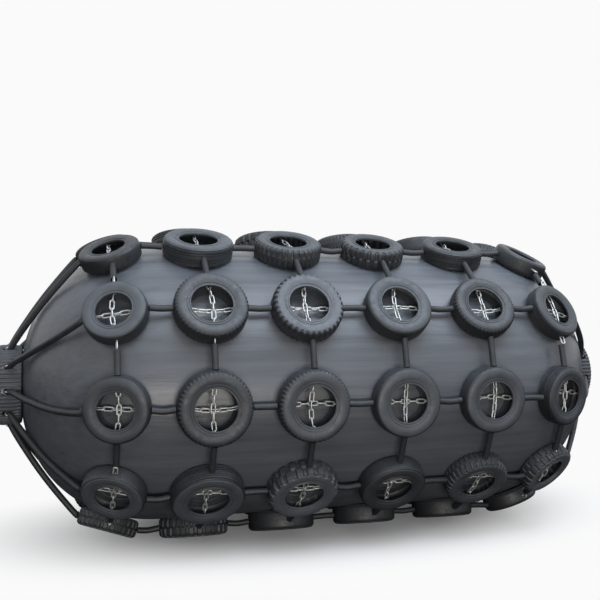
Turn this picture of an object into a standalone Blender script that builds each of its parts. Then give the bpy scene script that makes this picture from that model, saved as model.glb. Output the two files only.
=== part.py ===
"""Pneumatic fender with a net of chains and tyres: an inflated rubber body wrapped in
ten lengthwise strings of six tyres, each string shackled to a tow ring at both ends.

Metres. X runs along the fender, Z is up, and the origin is on the ground under its middle.
A row's angle is counted from -Y upwards, so the row at 0 degrees faces -Y.
"""

import math

import bmesh
import bpy
from mathutils import Matrix, Vector

GAP = 0.0003  # between pieces that touch

# Inflated body
BODY_RADIUS = 1.25
BODY_LENGTH = 5.5  # over the faces of the end flanges
BODY_WALL = 0.03
BODY_SIDES = 20
DOME_STEPS = 5
MOUTH_RADIUS = 0.12  # the opening behind each flange

# Tyres of the net: car casings, lying flat on the body
TYRE_RADIUS = 0.312
TYRE_WIDTH = 0.185
BEAD_RADIUS = 0.179
TYRE_SIDES = 12

# Net
ROWS = 10
COLUMN_SPACING = 0.825
DOME_TYRE_TILT = math.radians(21.5)  # the outermost tyres lie on the domes
SLEEVE_WIDTH = 0.055  # rubber hose over the chain
CHAIN_WIDTH = 0.036  # the chain inside a tyre, as a bar of its mean width
CHAIN_STEP = 0.0205  # the crosswise chain passes this far above mid-width, the other below
PORT_RIM = 0.009  # the ring of tread left round a hole before it is set to size
DOME_SLEEVE_ANGLES = (42, 55, 67)  # degrees round the dome at which the long sleeve is held to it
DOME_SLEEVE_LIFT = 0.004  # off the dome

# End tyre, standing round the tow ring
END_TYRE_RADIUS = 0.36
END_TYRE_WIDTH = 0.19
END_BEAD_RADIUS = 0.215
END_TYRE_WALL = 0.02
END_TYRE_SIDES = 20
CHAIN_HOLE_LENGTH = 0.1  # along the fender, so that a sleeve can enter at a slant
CHAIN_HOLE_WIDTH = 0.062
SLEEVE_DIP = 0.05  # a sleeve starts to turn in at this height over the end tyre's tread
SLEEVE_SLANT = 0.02  # and this far before the middle of its hole

# End flange and its cover
FLANGE_RADIUS = 0.265
FLANGE_THICKNESS = 0.02
FLANGE_RIM = 0.035  # the chamfered rim round the flange's face
FLANGE_RIM_DEPTH = 0.008
PORT_RADIUS = 0.085
COVER_THICKNESS = 0.012
VALVE_RADIUS = 0.018
VALVE_HEIGHT = 0.016

# Tow ring with its lug plate and cross bar
RING_RADIUS = 0.20
RING_BAR = 0.037
RING_THICKNESS = 0.02
RING_SIDES = 20
LUG_THICKNESS = 0.03
LUG_DEPTH = 0.05
LUG_RISE = 0.17  # from the ring's middle to the pin
LUG_HEAD = 0.042
CROSS_BAR_THICKNESS = 0.014
CROSS_BAR_DEPTH = 0.03
BAR_OVER_RING = 0.016  # how thick both plates are where they cap the ring

# Shackles that tie the chains to the ring
SMALL_BAR = 0.016
SMALL_JAW = 0.027
SMALL_LENGTH = 0.062  # from the pin's middle to the bow's inner end

# Tow shackle and swivel
BOW_BAR = 0.032
BOW_JAW = 0.038
BOW_WIDTH = 0.11
BOW_LENGTH = 0.15  # from the pin's middle to the bow's inner end
EAR_RADIUS = 0.032
PIN_RADIUS = 0.017
PIN_PLAY = 0.001
PIN_HEAD_RADIUS = 0.027
PIN_HEAD_LENGTH = 0.016
PIN_TIP = 0.008  # past the nut
EYE_BAR = 0.026
EYE_WIDTH = 0.05
EYE_LENGTH = 0.09  # inside
EYE_RISE = 0.0015  # the bow's curve holds the eye this far off its lowest point
SHANK_RADIUS = 0.014
SHANK_LENGTH = 0.03  # below the collar
COLLAR_RADIUS = 0.036
COLLAR_HEIGHT = 0.034
COLLAR_CHAMFER = 0.008
COLLAR_SINK = 0.006  # how far the eye's bar sinks into the collar
SWIVEL_RADIUS = 0.045
SWIVEL_HEIGHT = 0.12
SWIVEL_THICKNESS = 0.03
SWIVEL_HOLE = 0.022
SWIVEL_WAIST = 0.8  # the head's tab and foot, as a share of its radius

# Derived places
ROW_STEP = math.tau / ROWS
END_FACE = BODY_LENGTH / 2
BODY_END = END_FACE - FLANGE_THICKNESS
DOME_X = BODY_END - math.sqrt(BODY_RADIUS**2 - FLANGE_RADIUS**2)
SEAT_RADIUS = BODY_RADIUS * math.cos(math.pi / BODY_SIDES) + GAP
DOME_SEAT = math.sqrt(BODY_RADIUS**2 - BEAD_RADIUS**2) + GAP
TYRE_MIDDLE = TYRE_WIDTH / 2
HALF_SIDE = math.pi / TYRE_SIDES
FLAT_BEAD = BEAD_RADIUS * math.cos(HALF_SIDE)
FLAT_TYRE = TYRE_RADIUS * math.cos(HALF_SIDE)
# The sidewall slopes so that the two bottom rows lie flat on the ground
TREAD_HEIGHT = TYRE_WIDTH - (FLAT_TYRE - FLAT_BEAD) * math.tan(ROW_STEP / 2)
AXIS_HEIGHT = (SEAT_RADIUS + TYRE_WIDTH) * math.cos(ROW_STEP / 2) + FLAT_BEAD * math.sin(
    ROW_STEP / 2
)
RING_X = GAP + END_TYRE_WIDTH / 2  # from the end face
RING_FLAT = math.cos(math.pi / RING_SIDES)
RING_BORE = (RING_RADIUS - RING_BAR) * RING_FLAT
RING_FRONT = RING_X + RING_THICKNESS / 2
PIN_X = RING_X + LUG_RISE
SMALL_PIN_RADIUS = RING_BORE - GAP - SMALL_BAR / 2
SMALL_BOW_END = SMALL_PIN_RADIUS + SMALL_LENGTH + SMALL_BAR
EAR_WIDTH = BOW_BAR
BOW_CENTRE = BOW_LENGTH + BOW_BAR / 2  # from the pin down to the middle of the bow's bar
FITTING_TURN = ROW_STEP / 4  # sets the lug plate and the cross bar between the shackles

# (radius, height over the body) round a tyre's section
TYRE_SECTION = (
    (BEAD_RADIUS, 0.0),
    (TYRE_RADIUS, 0.0),
    (TYRE_RADIUS, TREAD_HEIGHT),
    (BEAD_RADIUS, TYRE_WIDTH),
)


def clear_scene():
    for obj in list(bpy.data.objects):
        bpy.data.objects.remove(obj, do_unlink=True)


def make_collection(name):
    collection = bpy.data.collections.new(name)
    bpy.context.scene.collection.children.link(collection)
    return collection


def make_material(name, colour, roughness, metallic=0.0):
    material = bpy.data.materials.new(name)
    material.use_nodes = True
    shader = material.node_tree.nodes["Principled BSDF"]
    shader.inputs["Base Color"].default_value = (*colour, 1.0)
    shader.inputs["Roughness"].default_value = roughness
    shader.inputs["Metallic"].default_value = metallic
    return material


def place(name, data, material, parent, transform=None):
    """A new object of the fender, carried by an empty."""
    obj = bpy.data.objects.new(name, data)
    PARTS.objects.link(obj)
    if not data.materials:
        data.materials.append(material)
    obj.parent = parent
    obj.matrix_basis = transform or Matrix()
    return obj


def place_empty(name, parent, transform):
    empty = bpy.data.objects.new(name, None)
    PARTS.objects.link(empty)
    empty.parent = parent
    empty.matrix_basis = transform
    return empty


def mesh_from(bm, name):
    bmesh.ops.recalc_face_normals(bm, faces=bm.faces)
    mesh = bpy.data.meshes.new(name)
    bm.to_mesh(mesh)
    bm.free()
    mesh.set_sharp_from_angle(angle=math.radians(35))
    return mesh


def turned_mesh(name, profile, sides, turn=0.0):
    """A closed (radius, along) profile turned about X. Its first corner is at the angle turn."""
    bm = bmesh.new()
    corners = [
        bm.verts.new((along, radius * math.cos(turn), radius * math.sin(turn)))
        for radius, along in profile
    ]
    edges = [
        bm.edges.new((corners[i - 1], corners[i])) for i in range(len(corners))
    ]
    bmesh.ops.spin(
        bm,
        geom=corners + edges,
        axis=(1, 0, 0),
        angle=math.tau,
        steps=sides,
        use_merge=True,
    )
    return mesh_from(bm, name)


def rod(bm, start, end, radius, sides):
    """A cylinder between two points."""
    line = Vector(end) - Vector(start)
    middle = (Vector(end) + Vector(start)) / 2
    turn = Vector((0, 0, 1)).rotation_difference(line).to_matrix().to_4x4()
    bmesh.ops.create_cone(
        bm,
        cap_ends=True,
        segments=sides,
        radius1=radius,
        radius2=radius,
        depth=line.length,
        matrix=Matrix.Translation(middle) @ turn,
    )


def rod_mesh(name, start, end, radius, sides):
    bm = bmesh.new()
    rod(bm, start, end, radius, sides)
    return mesh_from(bm, name)


def bent_bar_mesh(name, points, bar, rounding=0):
    """A round bar along the points, closed at its ends."""
    curve = bpy.data.curves.new(name, "CURVE")
    curve.dimensions = "3D"
    curve.bevel_depth = bar / 2
    curve.bevel_resolution = rounding
    curve.use_fill_caps = True
    spline = curve.splines.new("POLY")
    spline.points.add(len(points) - 1)
    for point, (x, y, z) in zip(spline.points, points):
        point.co = (x, y, z, 1)
    return mesh_of_curve(curve)


def loop_bar_mesh(name, points, bar, rounding=1):
    """A round bar bent into a closed loop."""
    curve = bpy.data.curves.new(name, "CURVE")
    curve.dimensions = "3D"
    curve.bevel_depth = bar / 2
    curve.bevel_resolution = rounding
    spline = curve.splines.new("POLY")
    spline.points.add(len(points) - 1)
    spline.use_cyclic_u = True
    for point, (x, y, z) in zip(spline.points, points):
        point.co = (x, y, z, 1)
    return mesh_of_curve(curve)


def plate_mesh(name, outlines, thickness):
    """A flat plate about the XY plane from closed outlines, the later ones being holes."""
    curve = bpy.data.curves.new(name, "CURVE")
    curve.dimensions = "2D"
    curve.fill_mode = "BOTH"
    curve.extrude = thickness / 2
    for outline in outlines:
        spline = curve.splines.new("POLY")
        spline.points.add(len(outline) - 1)
        spline.use_cyclic_u = True
        for point, (x, y) in zip(spline.points, outline):
            point.co = (x, y, 0, 1)
    return mesh_of_curve(curve)


def mesh_of_curve(curve):
    """The curve's evaluated mesh, its caps welded to its sides."""
    carrier = bpy.data.objects.new(curve.name, curve)
    bpy.context.scene.collection.objects.link(carrier)
    graph = bpy.context.evaluated_depsgraph_get()
    mesh = bpy.data.meshes.new_from_object(carrier.evaluated_get(graph))
    bpy.data.objects.remove(carrier)
    bm = bmesh.new()
    bm.from_mesh(mesh)
    bmesh.ops.remove_doubles(bm, verts=bm.verts, dist=1e-5)
    return mesh_from(bm, curve.name)


def arc(centre, radius, start, end, steps):
    """Points on a circle in a plane, both ends included, angles in degrees."""
    turns = [math.radians(start + (end - start) * i / steps) for i in range(steps + 1)]
    return [
        (centre[0] + radius * math.cos(t), centre[1] + radius * math.sin(t))
        for t in turns
    ]


def combine(obj, mesh, operation):
    """Joins a shape to an object or cuts it out of the object, with a hidden tool."""
    tool = bpy.data.objects.new(f"{obj.name}.tool", mesh)
    CUTTERS.objects.link(tool)
    tool.parent = obj.parent
    tool.matrix_basis = obj.matrix_basis
    tool.hide_render = True
    tool.display_type = "WIRE"
    modifier = obj.modifiers.new(operation.title(), "BOOLEAN")
    modifier.operation = operation
    modifier.object = tool


# Body


def dome_profile(radius, end, steps):
    """(radius, along) from the dome's foot to the circle where it reaches the plane at end."""
    last = math.asin((end - DOME_X) / radius)
    return [
        (radius * math.cos(last * i / steps), DOME_X + radius * math.sin(last * i / steps))
        for i in range(steps + 1)
    ]


def build_body(parent):
    """The moulded skin, a hollow with a wall, open at both ends where the flanges close it."""
    outer = dome_profile(BODY_RADIUS, BODY_END, DOME_STEPS)
    inner = dome_profile(BODY_RADIUS - BODY_WALL, BODY_END - BODY_WALL, DOME_STEPS // 2)
    mouth = MOUTH_RADIUS + GAP
    outside = outer + [(mouth, BODY_END)]
    inside = [(mouth, BODY_END - BODY_WALL)] + inner[::-1]
    profile = (
        [(r, -x) for r, x in outside[::-1]]
        + outside
        + inside
        + [(r, -x) for r, x in inside[::-1]]
    )
    mesh = turned_mesh("body", profile, BODY_SIDES, math.pi / BODY_SIDES)
    place("fender_body", mesh, SKIN, parent)


# Tyre net


def faces_facing(faces, direction):
    """The faces whose middle lies straight out from the tyre's axis in a direction, inmost first."""
    straight = [
        f
        for f in faces
        if f.calc_center_median().xy.normalized().dot(direction) > 1 - 1e-4
    ]
    return sorted(straight, key=lambda f: f.calc_center_median().xy.length)


def port(bm, face, size, height):
    """Shrinks a square port out of a tread or bore face, centred at a height, and returns it."""
    bmesh.ops.inset_individual(bm, faces=[face], thickness=PORT_RIM)
    middle = face.calc_center_median()
    out = face.normal.copy()
    across = Vector((-out.y, out.x, 0)).normalized()
    up = out.cross(across)
    centre = middle + up * ((height - middle.z) / up.z)
    for vert in face.verts:
        offset = vert.co - middle
        side = math.copysign(size / 2, offset.dot(across))
        rise = math.copysign(size / 2, offset.dot(up))
        vert.co = centre + across * side + up * rise
    return face


def reach(bm, face, offset):
    """Extrudes a face by an offset and returns its new place."""
    made = bmesh.ops.extrude_discrete_faces(bm, faces=[face])["faces"][0]
    bmesh.ops.translate(bm, vec=offset, verts=made.verts)
    return made


def add_tyre(bm, seat):
    """One tyre with the chains that cross its hole and the sleeve to the next row.
    Returns the ports of its lengthwise chain, towards -X and +X."""
    before = set(bm.faces)
    start = [
        bm.verts.new(
            (radius * math.cos(HALF_SIDE), radius * math.sin(HALF_SIDE), height)
        )
        for radius, height in TYRE_SECTION
    ]
    edges = [bm.edges.new((start[i - 1], start[i])) for i in range(len(start))]
    bmesh.ops.spin(
        bm,
        geom=start + edges,
        axis=(0, 0, 1),
        angle=math.tau,
        steps=TYRE_SIDES,
        use_merge=True,
    )
    faces = [f for f in bm.faces if f not in before]
    bmesh.ops.recalc_face_normals(bm, faces=faces)
    east, north, west = Vector((1, 0)), Vector((0, 1)), Vector((-1, 0))
    bore_span = 2 * FLAT_BEAD - GAP
    east_bore, east_tread = (faces_facing(faces, east)[i] for i in (0, -1))
    north_bore, north_tread = (faces_facing(faces, north)[i] for i in (0, -1))
    west_tread = faces_facing(faces, west)[-1]

    across = port(bm, north_bore, CHAIN_WIDTH, TYRE_MIDDLE + CHAIN_STEP)
    reach(bm, across, (0, -bore_span, 0))
    along = port(bm, east_bore, CHAIN_WIDTH, TYRE_MIDDLE - CHAIN_STEP)
    reach(bm, along, (-bore_span, 0, 0))
    sleeve = port(bm, north_tread, SLEEVE_WIDTH, TYRE_MIDDLE)
    ports = [port(bm, f, SLEEVE_WIDTH, TYRE_MIDDLE) for f in (west_tread, east_tread)]

    made = [f for f in bm.faces if f not in before]
    verts = list({v for f in made for v in f.verts})
    bmesh.ops.transform(bm, matrix=seat, verts=verts)
    end = reach(bm, sleeve, (0, 0, 0))
    to_next_row(end)
    return ports


def to_next_row(face):
    """Moves a sleeve's end to the mirror image of its start, on the next row's tyre."""
    turn = Matrix.Rotation(-ROW_STEP / 2, 3, "X")
    flip = turn @ Matrix.Diagonal((1, -1, 1)) @ turn.inverted()
    for vert in face.verts:
        image = flip @ vert.co
        vert.co = image + (vert.co - image).normalized() * GAP


def join_ports(bm, first, second):
    edges = list(first.edges) + list(second.edges)
    bmesh.ops.delete(bm, geom=[first, second], context="FACES_ONLY")
    bmesh.ops.bridge_loops(bm, edges=edges)


def end_sleeve_route():
    """(along, radius) of the lengthwise sleeve over the dome and into the end tyre."""
    over = BODY_RADIUS + SLEEVE_WIDTH / 2 + DOME_SLEEVE_LIFT
    route = [
        (DOME_X + over * math.sin(math.radians(a)), over * math.cos(math.radians(a)))
        for a in DOME_SLEEVE_ANGLES
    ]
    hole = END_FACE + RING_X
    route.append((hole - SLEEVE_SLANT, END_TYRE_RADIUS + SLEEVE_DIP))
    route.append((hole, END_TYRE_RADIUS - 2 * END_TYRE_WALL))
    route.append((hole, SMALL_BOW_END + GAP))
    return [Vector((x, 0, r)) for x, r in route]


def add_end_sleeve(bm, face):
    """Leads the lengthwise sleeve from the dome's tyre to the tow ring's shackle."""
    route = [face.calc_center_median()] + end_sleeve_route()
    half = SLEEVE_WIDTH / 2
    for i in range(1, len(route)):
        ahead = route[min(i + 1, len(route) - 1)] - route[i]
        behind = route[i] - route[i - 1]
        heading = ahead.normalized() + behind.normalized()
        face = bmesh.ops.extrude_discrete_faces(bm, faces=[face])["faces"][0]
        last = route[i - 1]
        for vert in face.verts:
            side = math.copysign(half, vert.co.y)
            rise = math.copysign(half, (vert.co - last).dot(outward_of(behind)))
            vert.co = route[i] + Vector((0, side, 0)) + outward_of(heading) * rise


def outward_of(heading):
    """The direction away from the body, square to a heading in the XZ plane."""
    return Vector((-heading.z, 0, heading.x)).normalized()


def half_row_mesh():
    """The half of a tyre string at +X, open at the middle of its central sleeve."""
    bm = bmesh.new()
    seats = [
        Matrix.Translation((COLUMN_SPACING * (i + 0.5), 0, SEAT_RADIUS))
        for i in range(2)
    ]
    tilt = Matrix.Rotation(DOME_TYRE_TILT, 4, "Y")
    seats.append(
        Matrix.Translation((DOME_X, 0, 0)) @ tilt @ Matrix.Translation((0, 0, DOME_SEAT))
    )
    ports = [add_tyre(bm, seat) for seat in seats]
    for inner, outer in zip(ports, ports[1:]):
        join_ports(bm, inner[1], outer[0])
    first = ports[0][0]
    middle = reach(bm, first, (-first.calc_center_median().x, 0, 0))
    for vert in middle.verts:
        vert.co.x = 0.0
    bmesh.ops.delete(bm, geom=[middle], context="FACES_ONLY")
    add_end_sleeve(bm, ports[-1][1])
    return mesh_from(bm, "tyre_row")


def build_rows(parent):
    mesh = half_row_mesh()
    for number in range(ROWS):
        turn = math.pi / 2 - number * ROW_STEP
        row = place(
            f"tyre_row_{number + 1:02d}", mesh, TYRE, parent, Matrix.Rotation(turn, 4, "X")
        )
        mirror = row.modifiers.new("Mirror", "MIRROR")
        mirror.merge_threshold = 0.0001


# End tyre


def end_tyre_mesh():
    """A casing on edge, hollow inside, with a hole through its tread for each sleeve."""
    wall, bead = END_TYRE_WALL, END_BEAD_RADIUS
    section = [
        (bead, 0),
        (END_TYRE_RADIUS, 0),
        (END_TYRE_RADIUS, END_TYRE_WIDTH),
        (bead, END_TYRE_WIDTH),
        (bead, END_TYRE_WIDTH - wall),
        (END_TYRE_RADIUS - wall, END_TYRE_WIDTH - wall),
        (END_TYRE_RADIUS - wall, wall),
        (bead, wall),
    ]
    section = [(radius, along + GAP) for radius, along in section]
    mesh = turned_mesh("end_tyre", section, END_TYRE_SIDES, math.pi / END_TYRE_SIDES)
    bm = bmesh.new()
    bm.from_mesh(mesh)
    bpy.data.meshes.remove(mesh)
    middle = GAP + END_TYRE_WIDTH / 2
    for number in range(ROWS):
        turn = math.pi + number * ROW_STEP
        out = Vector((0, math.cos(turn), math.sin(turn)))
        tread = [
            f
            for f in bm.faces
            if abs(f.normal.dot(out)) > 1 - 1e-4
            and f.calc_center_median().dot(out) > END_BEAD_RADIUS
            and abs(f.calc_center_median().x - middle) < 1e-4
        ]
        holes = [chain_hole(bm, f, middle) for f in tread]
        join_ports(bm, *holes)
    return mesh_from(bm, "end_tyre")


def chain_hole(bm, face, middle):
    bmesh.ops.inset_individual(bm, faces=[face], thickness=PORT_RIM)
    centre = face.calc_center_median()
    along = Vector((1, 0, 0))
    across = face.normal.cross(along)
    centre.x = middle
    for vert in face.verts:
        offset = vert.co - centre
        side = math.copysign(CHAIN_HOLE_WIDTH / 2, offset.dot(across))
        run = math.copysign(CHAIN_HOLE_LENGTH / 2, offset.dot(along))
        vert.co = centre + across * side + along * run
    return face


# Flange


def build_flange(side, end):
    back = -FLANGE_THICKNESS + GAP
    profile = [
        (FLANGE_RADIUS, back),
        (FLANGE_RADIUS, -FLANGE_RIM_DEPTH),
        (FLANGE_RADIUS - FLANGE_RIM, 0),
        (PORT_RADIUS, 0),
        (PORT_RADIUS, back),
    ]
    place(f"end_flange_{side}", turned_mesh("end_flange", profile, 20), PRIMER, end)
    face = -FLANGE_THICKNESS
    radius = MOUTH_RADIUS * math.cos(math.pi / BODY_SIDES) - GAP
    cover = rod_mesh("port_cover", (face - COVER_THICKNESS, 0, 0), (face, 0, 0), radius, 16)
    place(f"port_cover_{side}", cover, PRIMER, end)
    valve = rod_mesh(
        "air_valve", (face + GAP, 0, 0), (face + VALVE_HEIGHT, 0, 0), VALVE_RADIUS, 8
    )
    place(f"air_valve_{side}", valve, BRASS, end)


# Tow ring


def capping_outline(depth, slot=0.0, slot_depth=0.0):
    """Half the outline of a plate across the ring, as (across, along) from its middle outwards:
    it fills the ring's bore and caps the ring's front."""
    back = RING_FRONT - depth
    inner, outer = RING_BORE - GAP, RING_RADIUS
    front = RING_FRONT + GAP
    points = [(inner, back), (inner, front), (outer, front), (outer, front + BAR_OVER_RING)]
    if slot:
        points = [(slot, back + slot_depth), (slot, back)] + points
    return points


def mirrored(points):
    return points + [(-across, along) for across, along in reversed(points)]


def build_ring(side, end, frame):
    half = RING_THICKNESS / 2
    inner = RING_RADIUS - RING_BAR
    profile = [
        (radius, RING_X + along)
        for radius, along in ((inner, -half), (RING_RADIUS, -half), (RING_RADIUS, half), (inner, half))
    ]
    ring = turned_mesh("tow_ring", profile, RING_SIDES, math.pi / RING_SIDES + FITTING_TURN)
    place(f"tow_ring_{side}", ring, ZINC, end)

    bar = mirrored(capping_outline(CROSS_BAR_DEPTH))
    mesh = plate_mesh("cross_bar", [bar], CROSS_BAR_THICKNESS)
    lie = Matrix(((0, 1, 0, 0), (1, 0, 0, 0), (0, 0, -1, 0), (0, 0, 0, 1)))
    mesh.transform(lie)
    place(f"cross_bar_{side}", mesh, ZINC, frame)

    slot = CROSS_BAR_THICKNESS / 2 + GAP
    slot_depth = CROSS_BAR_DEPTH + GAP + BAR_OVER_RING + GAP + (LUG_DEPTH - CROSS_BAR_DEPTH)
    edge = capping_outline(LUG_DEPTH, slot, slot_depth)
    head = arc((0, PIN_X), LUG_HEAD, 20, 160, 8)
    lug = edge + head + [(-across, along) for across, along in reversed(edge)]
    hole = arc((0, PIN_X), PIN_RADIUS + PIN_PLAY, 0, 330, 11)
    mesh = plate_mesh("lug_plate", [lug, hole], LUG_THICKNESS)
    stand = Matrix(((0, 1, 0, 0), (0, 0, 1, 0), (1, 0, 0, 0), (0, 0, 0, 1)))
    mesh.transform(stand)
    place(f"lug_plate_{side}", mesh, ZINC, frame)


def build_small_shackles(side, end):
    """Each holds the end of one chain to the ring, its pin inside the ring."""
    half = (SMALL_JAW + SMALL_BAR) / 2
    pin = SMALL_PIN_RADIUS
    bow = pin + SMALL_LENGTH + SMALL_BAR / 2
    shoulder = bow - half / 2
    outline = [(-half, pin), (half, pin), (half, shoulder), (half / 2, bow)]
    outline += [(-half / 2, bow), (-half, shoulder)]
    points = [(RING_X + x, 0, r) for x, r in outline]
    mesh = loop_bar_mesh("chain_shackle", points, SMALL_BAR, 0)
    for number in range(ROWS):
        turn = math.pi / 2 - number * ROW_STEP
        turn = turn if side == "right" else -turn
        name = f"chain_shackle_{side}_{number + 1:02d}"
        place(name, mesh, ZINC, end, Matrix.Rotation(turn, 4, "X"))


# Tow shackle and swivel


def shaft_mesh(name, profile, sides):
    """A solid of revolution about X from an open (radius, along) profile that ends on the axis."""
    bm = bmesh.new()
    corners = [bm.verts.new((along, radius, 0)) for radius, along in profile]
    edges = [bm.edges.new(pair) for pair in zip(corners, corners[1:])]
    bmesh.ops.spin(
        bm, geom=corners + edges, axis=(1, 0, 0), angle=math.tau, steps=sides
    )
    bmesh.ops.remove_doubles(bm, verts=bm.verts, dist=1e-5)
    return mesh_from(bm, name)


def build_tow_shackle(side, frame):
    """Hangs from its pin, which lies along Y through the lug plate."""
    hinge = place_empty(f"tow_hinge_{side}", frame, Matrix.Translation((PIN_X, 0, 0)))
    leg = (BOW_JAW + EAR_WIDTH) / 2
    wide = (BOW_WIDTH + BOW_BAR) / 2
    waist = EAR_RADIUS + BOW_BAR / 2
    middle = wide - BOW_CENTRE
    sweep = arc((0, middle), wide, 20, -200, 8)
    down = [(leg, -EAR_RADIUS / 2), (leg, -waist)]
    route = down + sweep + [(-leg, -waist), (-leg, -EAR_RADIUS / 2)]
    bar = bent_bar_mesh("bow", [(0, y, z) for y, z in route], BOW_BAR, 1)
    bow = place(f"tow_shackle_{side}", bar, ZINC, hinge)
    hole = PIN_RADIUS + PIN_PLAY
    inner, outer = BOW_JAW / 2, BOW_JAW / 2 + EAR_WIDTH
    for number, direction in enumerate((1, -1)):
        start, end = (0, direction * inner, 0), (0, direction * outer, 0)
        combine(bow, rod_mesh(f"ear_{number}", start, end, EAR_RADIUS, 10), "UNION")
    bore = rod_mesh("bore", (0, -BOW_WIDTH, 0), (0, BOW_WIDTH, 0), hole, 10)
    combine(bow, bore, "DIFFERENCE")

    outside = BOW_JAW / 2 + EAR_WIDTH + GAP
    head = outside + PIN_HEAD_LENGTH
    tip = -outside - PIN_HEAD_LENGTH - PIN_TIP
    profile = [(0, head), (PIN_HEAD_RADIUS, head), (PIN_HEAD_RADIUS, outside)]
    profile += [(PIN_RADIUS, outside), (PIN_RADIUS, tip), (0, tip)]
    pin = shaft_mesh("tow_pin", profile, 8)
    pin.transform(Matrix.Rotation(-math.pi / 2, 4, "Z"))
    place(f"tow_pin_{side}", pin, ZINC, hinge)
    bore = PIN_RADIUS + GAP
    profile = [(bore, 0), (PIN_HEAD_RADIUS, 0), (PIN_HEAD_RADIUS, PIN_HEAD_LENGTH)]
    nut = turned_mesh("tow_nut", profile + [(bore, PIN_HEAD_LENGTH)], 8)
    nut.transform(Matrix.Translation((0, outside, 0)) @ Matrix.Rotation(math.pi / 2, 4, "Z"))
    place(f"tow_nut_{side}", nut, ZINC, hinge)
    return hinge


def build_swivel(side, hinge):
    """An eye linked through the bow, and the swivel head that turns on the eye's shank."""
    seat = -BOW_CENTRE
    link = place_empty(f"swivel_link_{side}", hinge, Matrix.Translation((0, 0, seat)))
    half = (EYE_WIDTH + EYE_BAR) / 2
    top = (BOW_BAR + EYE_BAR) / 2 + EYE_RISE
    low = top - EYE_LENGTH - EYE_BAR
    ring = arc((0, top - half), half, 180, 0, 4) + arc((0, low + half), half, 0, -180, 4)
    eye = loop_bar_mesh("eye", [(x, 0, z) for x, z in ring], EYE_BAR)
    eye_obj = place(f"swivel_eye_{side}", eye, ZINC, link)
    neck = low - EYE_BAR / 2 + COLLAR_SINK
    foot = neck - COLLAR_HEIGHT
    end = foot - SHANK_LENGTH
    profile = [(0, neck), (COLLAR_RADIUS - COLLAR_CHAMFER, neck)]
    profile += [(COLLAR_RADIUS, neck - COLLAR_CHAMFER), (COLLAR_RADIUS, foot)]
    profile += [(SHANK_RADIUS, foot), (SHANK_RADIUS, end), (0, end)]
    shank = shaft_mesh("shank", profile, 8)
    shank.transform(Matrix.Rotation(-math.pi / 2, 4, "Y"))
    combine(eye_obj, shank, "UNION")

    turn = place_empty(f"swivel_axis_{side}", link, Matrix.Translation((0, 0, foot - GAP)))
    drop = SHANK_LENGTH + GAP
    bore = SHANK_RADIUS + PIN_PLAY
    waist = SWIVEL_RADIUS * SWIVEL_WAIST
    profile = [(0, -drop), (bore, -drop), (bore, 0), (waist, 0), (SWIVEL_RADIUS, -drop / 2)]
    profile += [(waist, -drop * 1.6), (0, -drop * 2)]
    head = shaft_mesh("swivel_head", profile, 10)
    head.transform(Matrix.Rotation(-math.pi / 2, 4, "Y"))
    head_obj = place(f"swivel_head_{side}", head, ZINC, turn)
    reach_down = -SWIVEL_HEIGHT + SWIVEL_RADIUS
    tab = [(waist, -drop)] + arc((0, reach_down), waist, 0, -180, 6) + [(-waist, -drop)]
    hole = arc((0, reach_down), SWIVEL_HOLE, 0, 315, 7)
    plate = plate_mesh("tab", [tab, hole], SWIVEL_THICKNESS)
    plate.transform(Matrix.Rotation(math.pi / 2, 4, "X"))
    combine(head_obj, plate, "UNION")


def build_end(side, axis):
    facing = Matrix() if side == "right" else Matrix.Rotation(math.pi, 4, "Z")
    end = place_empty(f"end_{side}", axis, facing @ Matrix.Translation((END_FACE, 0, 0)))
    frame = place_empty(f"fitting_{side}", end, Matrix.Rotation(FITTING_TURN, 4, "X"))
    place(f"end_tyre_{side}", end_tyre_mesh(), TYRE, end)
    build_flange(side, end)
    build_ring(side, end, frame)
    build_small_shackles(side, end)
    build_swivel(side, build_tow_shackle(side, frame))


clear_scene()
PARTS = make_collection("pneumatic_fender")
CUTTERS = make_collection("cutters")
SKIN = make_material("moulded_rubber", (0.035, 0.038, 0.042), 0.42)
TYRE = make_material("tyre_rubber", (0.03, 0.031, 0.034), 0.6)
ZINC = make_material("galvanised_steel", (0.62, 0.63, 0.62), 0.4, 0.9)
PRIMER = make_material("primed_steel", (0.42, 0.34, 0.27), 0.65, 0.2)
BRASS = make_material("valve_brass", (0.6, 0.45, 0.2), 0.35, 0.9)

AXIS = place_empty("fender_axis", None, Matrix.Translation((0, 0, AXIS_HEIGHT)))
build_body(AXIS)
build_rows(AXIS)
for SIDE in ("left", "right"):
    build_end(SIDE, AXIS)
bpy.context.view_layer.update()
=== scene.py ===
"""The finished look of an inflated ship fender in its net of chains and used tyres."""

import math
import random

import bmesh
import bpy
from mathutils import Matrix, Vector


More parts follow.
